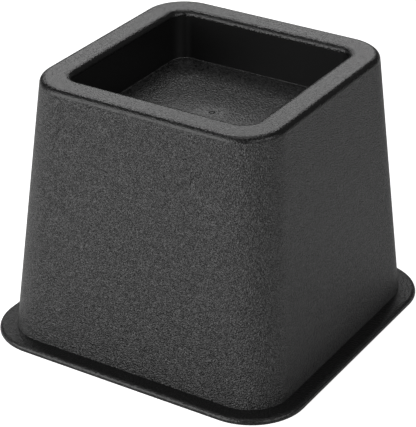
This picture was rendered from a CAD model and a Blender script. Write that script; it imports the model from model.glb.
"""Bed riser in black plastic, on a pale floor in soft studio light, seen as in the photograph."""
import math

import bpy
import numpy as np
from mathutils import Matrix, Vector


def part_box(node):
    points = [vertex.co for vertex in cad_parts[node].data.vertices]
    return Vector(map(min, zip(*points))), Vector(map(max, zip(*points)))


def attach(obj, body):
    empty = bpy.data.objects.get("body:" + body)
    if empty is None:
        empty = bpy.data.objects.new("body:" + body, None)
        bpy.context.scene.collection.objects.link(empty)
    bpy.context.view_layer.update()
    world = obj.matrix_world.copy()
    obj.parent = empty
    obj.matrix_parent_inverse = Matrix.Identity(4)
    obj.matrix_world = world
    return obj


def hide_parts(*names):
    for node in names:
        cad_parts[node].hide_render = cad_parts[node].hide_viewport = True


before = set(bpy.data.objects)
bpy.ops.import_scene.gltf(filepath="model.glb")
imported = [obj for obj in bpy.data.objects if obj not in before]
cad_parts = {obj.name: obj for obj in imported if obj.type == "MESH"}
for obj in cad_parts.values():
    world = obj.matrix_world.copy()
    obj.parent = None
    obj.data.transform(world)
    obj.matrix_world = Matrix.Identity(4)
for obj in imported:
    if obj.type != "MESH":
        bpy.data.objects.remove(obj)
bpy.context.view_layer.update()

# Riser
# One hollow tapered block of black polypropylene, injection moulded, with a cup on top for a bed's leg.
# The mould is spark grained on the outside of the wall and on the cup's floor, finely grained on the lips,
# and satin or smooth elsewhere.
MM = 0.001
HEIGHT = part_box("riser")[1][2]
FLANGE_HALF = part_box("riser")[1][0]
FLANGE_REACH = 8.1 * MM
FLANGE_CORNER = 28.5 * MM
FLANGE_THICKNESS = 2.7 * MM
FLANGE_TOP_ROUND = 2.0 * MM
FLANGE_FLOOR_ROUND = 0.4 * MM
WALL_TAPER = math.radians(4.96)
WALL_CORNER = 21.1 * MM
WALL_THICKNESS = 3.0 * MM
LIP_RADIUS = 3.0 * MM
CUP_HALF = 49.25 * MM
CUP_DEPTH = 25.4 * MM
CUP_CORNER = 7.7 * MM
CUP_DRAFT = math.radians(0.5)
CUP_ROOT_RADIUS = 0.4 * MM
CUP_WALL_THICKNESS = 3.0 * MM
CUP_FLOOR_THICKNESS = 3.2 * MM
GATE_RADIUS = 1.6 * MM
GATE_STUB_RADIUS = 0.85 * MM
GATE_DEPTH = 0.4 * MM
RIB_THICKNESS = 2.6 * MM
RIB_LIFT = 3.0 * MM
CREASE_ANGLE = math.radians(32)

CUP_FLOOR_Z = HEIGHT - CUP_DEPTH
CUP_UNDERSIDE_Z = CUP_FLOOR_Z - CUP_FLOOR_THICKNESS
RIM_UNDERSIDE_Z = HEIGHT - WALL_THICKNESS
CUP_SHELL_HALF = CUP_HALF + CUP_WALL_THICKNESS
CUP_SHELL_CORNER = CUP_CORNER + CUP_WALL_THICKNESS
FOOT_HALF = FLANGE_HALF - FLANGE_REACH
LEVEL_WALL_THICKNESS = WALL_THICKNESS / math.cos(WALL_TAPER)
FINISHES = ("cup_floor", "cup_wall", "lip", "rim", "wall", "flange", "underside")


def wall_half(z):
    """Half width of the outside of the wall at a level: it narrows upwards by the tangent of the taper."""
    return FOOT_HALF - z * math.tan(WALL_TAPER)


def cup_half(z):
    """Half width of the cup at a level: it narrows downwards by the tangent of the draft."""
    return CUP_HALF - (HEIGHT - z) * math.tan(CUP_DRAFT)


def round_part(centre_half, centre_z, radius, start, end, steps=12):
    """Half widths and levels of an arc of the section: centre + radius * (cos, sin), from angle to angle."""
    angle = np.linspace(start, end, steps + 1)
    return centre_half + radius * np.cos(angle), centre_z + radius * np.sin(angle)


def straight_part(start, end, steps=8, margin=0.01):
    """Values along a straight of the section, even but for one close to each end that holds the shading."""
    share = np.concatenate(([0.0, margin], np.linspace(0, 1, steps + 1)[1:-1], [1 - margin, 1.0]))
    return start + (end - start) * share


def stations(finish, half, corner, z, roundness=0.0):
    """Rows of half width, corner radius, level, roundness and finish, one for each station."""
    half, corner, z, roundness = np.broadcast_arrays(half, corner, z, roundness)
    return np.column_stack((half, corner, z, roundness, np.full(half.shape, FINISHES.index(finish))))


def riser_section():
    """Section from the middle of the cup's floor, over the rim, down the wall and back under the cup.

    Tangent length of a round between two faces is radius * tan(half the angle between their normals).
    """
    upright = math.pi / 2
    runs = []

    # Gate stub, its groove, the cup's floor and its root
    root_tangent = CUP_ROOT_RADIUS * math.tan((upright - CUP_DRAFT) / 2)
    root_half = cup_half(CUP_FLOOR_Z) - root_tangent
    corner_share = (CUP_CORNER - (CUP_HALF - root_half)) / root_half
    stub_shares = np.array([0.3, 0.95])
    stub_half = stub_shares * GATE_STUB_RADIUS
    runs.append(stations("cup_floor", stub_half, stub_half * corner_share, CUP_FLOOR_Z, 1.0))
    groove_half = np.repeat([GATE_STUB_RADIUS, GATE_RADIUS], 2)
    groove_z = CUP_FLOOR_Z - np.array([0, GATE_DEPTH, GATE_DEPTH, 0])
    runs.append(stations("cup_wall", groove_half, groove_half * corner_share, groove_z, 1.0))
    half = straight_part(GATE_RADIUS, root_half, steps=24)
    roundness = np.linspace(1, 0, len(half)) ** 2
    runs.append(stations("cup_floor", half, half * corner_share, CUP_FLOOR_Z, roundness))
    root_z = CUP_FLOOR_Z + CUP_ROOT_RADIUS
    half, z = round_part(root_half, root_z, CUP_ROOT_RADIUS, -upright, -CUP_DRAFT, steps=8)
    runs.append(stations("cup_floor", half, CUP_CORNER - (CUP_HALF - half), z))

    # Cup wall, inner lip, rim and outer lip
    lip_tangent = LIP_RADIUS * math.tan((upright - CUP_DRAFT) / 2)
    mouth_half = CUP_HALF + lip_tangent
    lip_half, lip_z = round_part(mouth_half, HEIGHT - LIP_RADIUS, LIP_RADIUS, math.pi - CUP_DRAFT, upright)
    z = straight_part(z[-1], lip_z[0], steps=10)
    runs.append(stations("cup_wall", cup_half(z), CUP_CORNER - (CUP_HALF - cup_half(z)), z))
    runs.append(stations("lip", lip_half, CUP_CORNER + (lip_half - CUP_HALF), lip_z))
    top_half = wall_half(HEIGHT)
    edge_tangent = LIP_RADIUS * math.tan((upright - WALL_TAPER) / 2)
    edge_half = top_half - edge_tangent
    half = straight_part(mouth_half, edge_half, steps=4, margin=0.03)
    corner = straight_part(CUP_CORNER + lip_tangent, WALL_CORNER - edge_tangent, steps=4, margin=0.03)
    runs.append(stations("rim", half, corner, HEIGHT))
    half, z = round_part(edge_half, HEIGHT - LIP_RADIUS, LIP_RADIUS, upright, WALL_TAPER)
    runs.append(stations("lip", half, WALL_CORNER - (wall_half(z) - half), z))

    # Wall and flange
    z = straight_part(z[-1], FLANGE_THICKNESS, steps=24, margin=0.005)
    runs.append(stations("wall", wall_half(z), WALL_CORNER, z))
    flange_edge = FLANGE_HALF - FLANGE_TOP_ROUND
    half = straight_part(wall_half(FLANGE_THICKNESS), flange_edge, steps=4, margin=0.03)
    corner = straight_part(WALL_CORNER, FLANGE_CORNER - FLANGE_TOP_ROUND, steps=4, margin=0.03)
    runs.append(stations("flange", half, corner, FLANGE_THICKNESS))
    edge_z = FLANGE_THICKNESS - FLANGE_TOP_ROUND
    half, z = round_part(flange_edge, edge_z, FLANGE_TOP_ROUND, upright, upright / 2, steps=5)
    runs.append(stations("flange", half, FLANGE_CORNER - (FLANGE_HALF - half), z))
    half, z = round_part(flange_edge, edge_z, FLANGE_TOP_ROUND, upright / 2, 0, steps=5)
    runs.append(stations("lip", half, FLANGE_CORNER - (FLANGE_HALF - half), z))
    foot_edge = FLANGE_HALF - FLANGE_FLOOR_ROUND
    half, z = round_part(foot_edge, FLANGE_FLOOR_ROUND, FLANGE_FLOOR_ROUND, 0, -upright, steps=5)
    runs.append(stations("flange", half, FLANGE_CORNER - (FLANGE_HALF - half), z))

    # Underside: foot, inside of the wall, under the rim, and round and under the cup
    inside_corner = WALL_CORNER - WALL_THICKNESS
    half = straight_part(foot_edge, FOOT_HALF - LEVEL_WALL_THICKNESS, steps=4, margin=0.03)
    corner = straight_part(FLANGE_CORNER - FLANGE_FLOOR_ROUND, inside_corner, steps=4, margin=0.03)
    runs.append(stations("underside", half, corner, 0.0))
    z = straight_part(0.0, RIM_UNDERSIDE_Z, steps=8)
    runs.append(stations("underside", wall_half(z) - LEVEL_WALL_THICKNESS, inside_corner, z))
    half = straight_part(wall_half(RIM_UNDERSIDE_Z) - LEVEL_WALL_THICKNESS, CUP_SHELL_HALF, steps=2)
    corner = straight_part(inside_corner, CUP_SHELL_CORNER, steps=2)
    runs.append(stations("underside", half, corner, RIM_UNDERSIDE_Z))
    z = straight_part(RIM_UNDERSIDE_Z, CUP_UNDERSIDE_Z, steps=4)
    runs.append(stations("underside", CUP_SHELL_HALF, CUP_SHELL_CORNER, z))
    last_share = 0.1
    share = np.linspace(1, last_share, 8)
    runs.append(stations("underside", share * CUP_SHELL_HALF, share * CUP_SHELL_CORNER, CUP_UNDERSIDE_Z,
                         1 - share ** 2))

    # Of two stations at one place, the later is kept
    same_place = 1e-9
    rows = np.concatenate(runs)
    steps = np.linalg.norm(np.diff(rows[:, :4], axis=0), axis=1)
    return rows[np.concatenate((steps > same_place, [True]))]


def square_rings(rows, straights=14, corner_steps=20):
    """One closed ring of points for each station: a square with round corners, or part way to a circle.

    On each side the point runs up a straight of half length (half - corner), then round a quarter circle.
    Roundness is the share by which it moves towards the point at its bearing on a circle of radius half.
    """
    half, corner, level, roundness = (rows[:, column, None] for column in range(4))
    side = straight_part(-1.0, 1.0, steps=straights)[:-1]
    turn = np.linspace(0, math.pi / 2, corner_steps + 1)[:-1]
    inset = half - corner
    x = np.hstack((np.repeat(half, len(side), axis=1), inset + corner * np.cos(turn)))
    y = np.hstack((inset * side, inset + corner * np.sin(turn)))
    plan = np.stack((np.hstack((x, -y, -x, y)), np.hstack((y, x, -y, -x))), axis=-1)
    bearing = plan / np.linalg.norm(plan, axis=-1, keepdims=True)
    plan = plan + roundness[..., None] * (half[..., None] * bearing - plan)
    return np.concatenate((plan, np.broadcast_to(level[..., None], plan.shape[:2] + (1,))), axis=-1)


def riser_surface():
    """Closed mesh of the moulding without its ribs: rings joined by quads, with a fan at each end's pole."""
    rows = riser_section()
    rings = square_rings(rows)
    count, around = rings.shape[:2]
    points = np.concatenate((rings.reshape(-1, 3), [[0, 0, rows[0, 2]], [0, 0, rows[-1, 2]]]))
    first_pole, last_pole = len(points) - 2, len(points) - 1
    here = np.arange(around)
    there = np.roll(here, -1)
    ring = np.arange(count - 1)[:, None] * around
    quads = np.stack((ring + here, ring + around + here, ring + around + there, ring + there), axis=-1)
    end = (count - 1) * around
    first_fan = np.column_stack((np.full(around, first_pole), here, there))
    last_fan = np.column_stack((end + there, end + here, np.full(around, last_pole)))
    finish = rows[:, 4].astype(int)
    finishes = np.concatenate((
        np.repeat(finish[:-1], around), np.full(around, finish[0]), np.full(around, finish[-1])))
    faces = quads.reshape(-1, 4).tolist() + first_fan.tolist() + last_fan.tolist()
    mesh = bpy.data.meshes.new("riser")
    mesh.from_pydata(points.tolist(), [], faces)
    mesh.polygons.foreach_set("material_index", finishes)
    mesh.update()
    return mesh


def rib_plate(turned):
    """Closed upright plate along one axis, whose ends and top stop inside the wall, the rim and the cup."""
    inside = WALL_THICKNESS / 2
    low, high, under_cup = RIB_LIFT, HEIGHT - inside, CUP_FLOOR_Z - CUP_FLOOR_THICKNESS / 2
    cup_side = CUP_HALF + CUP_WALL_THICKNESS / 2
    reach = np.array([wall_half(low), wall_half(high), cup_side + inside, cup_side + inside]) - inside
    rise = np.array([low, high, high, under_cup])
    outline = np.column_stack((np.concatenate((reach, -reach[::-1])), np.concatenate((rise, rise[::-1]))))
    count = len(outline)
    across = np.repeat([-RIB_THICKNESS / 2, RIB_THICKNESS / 2], count)
    along, up = np.tile(outline, (2, 1)).T
    points = np.column_stack((-across, along, up) if turned else (along, across, up))
    here = np.arange(count)
    there = np.roll(here, -1)
    sides = np.column_stack((there, here, here + count, there + count))
    mesh = bpy.data.meshes.new("rib")
    mesh.from_pydata(points.tolist(), [], sides.tolist() + [here.tolist(), (here + count)[::-1].tolist()])
    mesh.update()
    return mesh


PLASTIC_IOR = 1.5


def plastic(name, tone, roughness, grain_height, grain_size):
    """Black polypropylene with the grain of the mould: smooth noise, used as the height of a bump."""
    material = bpy.data.materials.new(name)
    material.use_nodes = True
    nodes, links = material.node_tree.nodes, material.node_tree.links
    shader = nodes["Principled BSDF"]
    shader.inputs["Base Color"].default_value = (tone, tone, tone, 1)
    shader.inputs["Roughness"].default_value = roughness
    shader.inputs["IOR"].default_value = PLASTIC_IOR
    place = nodes.new("ShaderNodeTexCoord")
    grain = nodes.new("ShaderNodeTexNoise")
    grain.inputs["Scale"].default_value = 1 / grain_size
    grain.inputs["Detail"].default_value = 0.0
    relief = nodes.new("ShaderNodeBump")
    relief.inputs["Distance"].default_value = grain_height
    links.new(place.outputs["Object"], grain.inputs["Vector"])
    links.new(grain.outputs["Fac"], relief.inputs["Height"])
    links.new(relief.outputs["Normal"], shader.inputs["Normal"])
    return material


def speckle(material, cell_size, pit_share, peak_tone):
    """Splits space into cells of one size and gives each a tone, from one even draw between 0 and 1.

    Draws up to the pit share keep the plastic's own tone, and from there they rise in a line to the peak's.
    """
    nodes, links = material.node_tree.nodes, material.node_tree.links
    base_colour = nodes["Principled BSDF"].inputs["Base Color"]
    cells = nodes.new("ShaderNodeTexVoronoi")
    cells.inputs["Scale"].default_value = 1 / cell_size
    cell_values = nodes.new("ShaderNodeSeparateColor")
    tones = nodes.new("ShaderNodeValToRGB")
    tones.name = "tones"
    pit, peak = tones.color_ramp.elements
    pit.position = pit_share
    pit.color = base_colour.default_value
    peak.color = (peak_tone, peak_tone, peak_tone, 1)
    links.new(nodes["Texture Coordinate"].outputs["Object"], cells.inputs["Vector"])
    links.new(cells.outputs["Color"], cell_values.inputs["Color"])
    links.new(cell_values.outputs["Red"], tones.inputs["Fac"])
    links.new(tones.outputs["Color"], base_colour)


def blushed_middle(material, radius, times):
    """Pales the speckle round the piece's axis, where the plastic ran in.

    Its tones are multiplied by times within half the radius, which fades to 1 at the radius.
    """
    nodes, links = material.node_tree.nodes, material.node_tree.links
    flat_place = nodes.new("ShaderNodeVectorMath")
    flat_place.operation = "MULTIPLY"
    flat_place.inputs[1].default_value = (1, 1, 0)
    away = nodes.new("ShaderNodeVectorMath")
    away.operation = "LENGTH"
    fade = nodes.new("ShaderNodeMapRange")
    fade.interpolation_type = "SMOOTHSTEP"
    fade.inputs["From Min"].default_value = radius / 2
    fade.inputs["From Max"].default_value = radius
    fade.inputs["To Min"].default_value = times
    fade.inputs["To Max"].default_value = 1.0
    paler = nodes.new("ShaderNodeVectorMath")
    paler.operation = "SCALE"
    links.new(nodes["Texture Coordinate"].outputs["Object"], flat_place.inputs[0])
    links.new(flat_place.outputs["Vector"], away.inputs[0])
    links.new(away.outputs["Value"], fade.inputs["Value"])
    links.new(nodes["tones"].outputs["Color"], paler.inputs[0])
    links.new(fade.outputs["Result"], paler.inputs["Scale"])
    links.new(paler.outputs["Vector"], nodes["Principled BSDF"].inputs["Base Color"])


CUP_FLOOR_GRAIN = 0.8 * MM
WALL_GRAIN = 0.65 * MM
WALL_SPECKLE = 0.36 * MM
SMOOTH_HEIGHT = 0.03 * MM
SMOOTH_GRAIN = 0.7 * MM
GATE_BLUSH_RADIUS = 10 * MM
cup_floor_plastic = plastic(
    "cup floor, grained", tone=0.003, roughness=0.33, grain_height=0.30 * MM, grain_size=CUP_FLOOR_GRAIN)
speckle(cup_floor_plastic, CUP_FLOOR_GRAIN, pit_share=0.0, peak_tone=0.055)
blushed_middle(cup_floor_plastic, GATE_BLUSH_RADIUS, times=2.5)
cup_wall_plastic = plastic(
    "cup wall, smooth", tone=0.007, roughness=0.32, grain_height=SMOOTH_HEIGHT, grain_size=SMOOTH_GRAIN)
lip_plastic = plastic(
    "lip, grained", tone=0.006, roughness=0.22, grain_height=0.18 * MM, grain_size=WALL_GRAIN)
rim_plastic = plastic(
    "rim, satin", tone=0.006, roughness=0.22, grain_height=0.06 * MM, grain_size=0.6 * MM)
wall_plastic = plastic(
    "wall, grained", tone=0.003, roughness=0.38, grain_height=1.05 * MM, grain_size=WALL_GRAIN)
speckle(wall_plastic, WALL_SPECKLE, pit_share=0.3, peak_tone=0.095)
flange_plastic = plastic(
    "flange, satin", tone=0.003, roughness=0.40, grain_height=0.40 * MM, grain_size=0.8 * MM)
underside_plastic = plastic(
    "underside, smooth", tone=0.009, roughness=0.40, grain_height=SMOOTH_HEIGHT, grain_size=SMOOTH_GRAIN)
finish_plastics = {
    "cup_floor": cup_floor_plastic,
    "cup_wall": cup_wall_plastic,
    "lip": lip_plastic,
    "rim": rim_plastic,
    "wall": wall_plastic,
    "flange": flange_plastic,
    "underside": underside_plastic,
}
riser_mesh = riser_surface()
for finish in FINISHES:
    riser_mesh.materials.append(finish_plastics[finish])
riser = bpy.data.objects.new("riser", riser_mesh)
bpy.context.scene.collection.objects.link(riser)

for turned in (False, True):
    rib = bpy.data.objects.new("rib", rib_plate(turned))
    rib.data.materials.append(underside_plastic)
    bpy.context.scene.collection.objects.link(rib)
    union = riser.modifiers.new("rib", "BOOLEAN")
    union.operation = "UNION"
    union.solver = "EXACT"
    union.material_mode = "TRANSFER"
    union.object = rib
    bpy.context.view_layer.update()
    joined = bpy.data.meshes.new_from_object(riser.evaluated_get(bpy.context.evaluated_depsgraph_get()))
    riser.modifiers.remove(union)
    riser.data = joined
    bpy.data.objects.remove(rib)
riser.data.shade_smooth()
riser.data.set_sharp_from_angle(angle=CREASE_ANGLE)

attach(riser, "root")
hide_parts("riser")

# Floor
# A wide pale sheet under the riser. The camera sees it as white but for the riser's soft shadow, and the
# plastic's gloss sees it a little lifted.
FLOOR_HALF = 4.0
FLOOR_COLOUR = (0.8, 0.8, 0.8, 1)
FLOOR_LIFT = 0.85
FLOOR_GLOSS_LIFT = 0.08


def seen_strength(tree, plain, camera_lift, gloss_lift):
    """Strength of a glow: plain for the light it casts, with a lift for what camera and gloss see of it."""
    light_path = tree.nodes.new("ShaderNodeLightPath")
    mirrored = tree.nodes.new("ShaderNodeMath")
    mirrored.operation = "MAXIMUM"
    gloss_share = tree.nodes.new("ShaderNodeMath")
    gloss_share.operation = "MULTIPLY_ADD"
    gloss_share.inputs[1].default_value = gloss_lift
    gloss_share.inputs[2].default_value = plain
    camera_share = tree.nodes.new("ShaderNodeMath")
    camera_share.operation = "MULTIPLY_ADD"
    camera_share.inputs[1].default_value = camera_lift
    tree.links.new(light_path.outputs["Is Glossy Ray"], mirrored.inputs[0])
    tree.links.new(light_path.outputs["Is Transmission Ray"], mirrored.inputs[1])
    tree.links.new(mirrored.outputs["Value"], gloss_share.inputs[0])
    tree.links.new(light_path.outputs["Is Camera Ray"], camera_share.inputs[0])
    tree.links.new(gloss_share.outputs["Value"], camera_share.inputs[2])
    return camera_share.outputs["Value"]


floor_mesh = bpy.data.meshes.new("floor")
floor_corners = FLOOR_HALF * np.array([(-1, -1, 0), (1, -1, 0), (1, 1, 0), (-1, 1, 0)])
floor_mesh.from_pydata(floor_corners.tolist(), [], [(0, 1, 2, 3)])
floor = bpy.data.objects.new("floor", floor_mesh)
bpy.context.scene.collection.objects.link(floor)
floor_paint = bpy.data.materials.new("pale floor")
floor_paint.use_nodes = True
floor_shader = floor_paint.node_tree.nodes["Principled BSDF"]
floor_shader.inputs["Base Color"].default_value = FLOOR_COLOUR
floor_shader.inputs["Roughness"].default_value = 1.0
floor_shader.inputs["Specular IOR Level"].default_value = 0.0
floor_shader.inputs["Emission Color"].default_value = (1, 1, 1, 1)
floor_glow = seen_strength(floor_paint.node_tree, 0.0, FLOOR_LIFT, FLOOR_GLOSS_LIFT)
floor_paint.node_tree.links.new(floor_glow, floor_shader.inputs["Emission Strength"])
floor_mesh.materials.append(floor_paint)

# Light
# Soft boxes in a dim studio. In front on the left a near one stands on the floor with a dimmer one above it.
# Behind on the left a low one has its image on the flat rim, and a high one lights the cup's floor.
# The others fill in from the right and from above.
WORLD_LIGHT = 0.08
WORLD_GLOSS_LIFT = 0.02


def soft_lamp(name, width, height, radiance, place):
    """Area lamp that the camera doesn't see, at a place given as a matrix. Power is radiance * pi * area."""
    lamp = bpy.data.lights.new(name, "AREA")
    lamp.shape = "RECTANGLE"
    lamp.size = width
    lamp.size_y = height
    lamp.energy = radiance * math.pi * width * height
    box = bpy.data.objects.new(name, lamp)
    box.visible_camera = False
    bpy.context.scene.collection.objects.link(box)
    box.matrix_world = place


def soft_box(name, bearing, distance, low, high, width, radiance):
    """Upright lamp between two levels, square to its bearing from the x axis, facing the riser."""
    outwards = Matrix.Rotation(math.radians(bearing), 4, "Z") @ Vector((distance, 0, 0))
    facing = outwards.to_track_quat("Z", "Y").to_matrix().to_4x4()
    middle = outwards + Vector((0, 0, (low + high) / 2))
    soft_lamp(name, width, high - low, radiance, Matrix.Translation(middle) @ facing)


def overhead_box(name, level, width, radiance):
    """Square lamp that hangs over the riser and faces down."""
    soft_lamp(name, width, width, radiance, Matrix.Translation((0, 0, level)))


soft_box("front soft box", bearing=246, distance=0.60, low=0.01, high=0.42, width=0.9, radiance=2.75)
soft_box("front upper soft box", bearing=246, distance=0.60, low=0.42, high=0.80, width=0.9, radiance=1.0)
soft_box("back soft box", bearing=130, distance=1.2, low=0.55, high=0.80, width=1.25, radiance=2.1)
soft_box("back upper soft box", bearing=130, distance=1.2, low=1.25, high=2.10, width=1.25, radiance=4.0)
soft_box("right soft box", bearing=345, distance=0.9, low=0.25, high=0.80, width=1.0, radiance=1.65)
overhead_box("overhead soft box", level=1.3, width=0.8, radiance=1.2)
world = bpy.data.worlds.new("studio")
bpy.context.scene.world = world
world.use_nodes = True
studio = world.node_tree.nodes["Background"]
studio.inputs["Color"].default_value = (1, 1, 1, 1)
studio_glow = seen_strength(world.node_tree, WORLD_LIGHT, 1 - WORLD_LIGHT, WORLD_GLOSS_LIFT)
world.node_tree.links.new(studio_glow, studio.inputs["Strength"])

# Camera
# It stands off the riser's front corner and looks down on it, as in the photograph, through a long lens.
# Its bearing is measured from the front, and its aim is a point near the riser's axis.
CAMERA_BEARING = math.radians(31.545)
CAMERA_ELEVATION = math.radians(28.245)
CAMERA_ROLL = math.radians(-0.187)
CAMERA_DISTANCE = 6.9352 * HEIGHT
CAMERA_AIM_SIDE = -0.0133 * HEIGHT
CAMERA_AIM_HEIGHT = 0.4005 * HEIGHT
CAMERA_LENS = 159.5
CAMERA_SENSOR_WIDTH = 36.0
camera_data = bpy.data.cameras.new("camera")
camera_data.lens = CAMERA_LENS
camera_data.sensor_width = CAMERA_SENSOR_WIDTH
camera = bpy.data.objects.new("camera", camera_data)
bpy.context.scene.collection.objects.link(camera)
bpy.context.scene.camera = camera
turned_about_z = Matrix.Rotation(CAMERA_BEARING, 4, "Z")
tilted = Matrix.Rotation(math.pi / 2 - CAMERA_ELEVATION, 4, "X")
rolled = Matrix.Rotation(-CAMERA_ROLL, 4, "Z")
aim = turned_about_z @ Vector((CAMERA_AIM_SIDE, 0, 0)) + Vector((0, 0, CAMERA_AIM_HEIGHT))
back_off = Matrix.Translation((0, 0, CAMERA_DISTANCE))
camera.matrix_world = Matrix.Translation(aim) @ turned_about_z @ tilted @ back_off @ rolled
bpy.context.scene.view_settings.view_transform = "Standard"
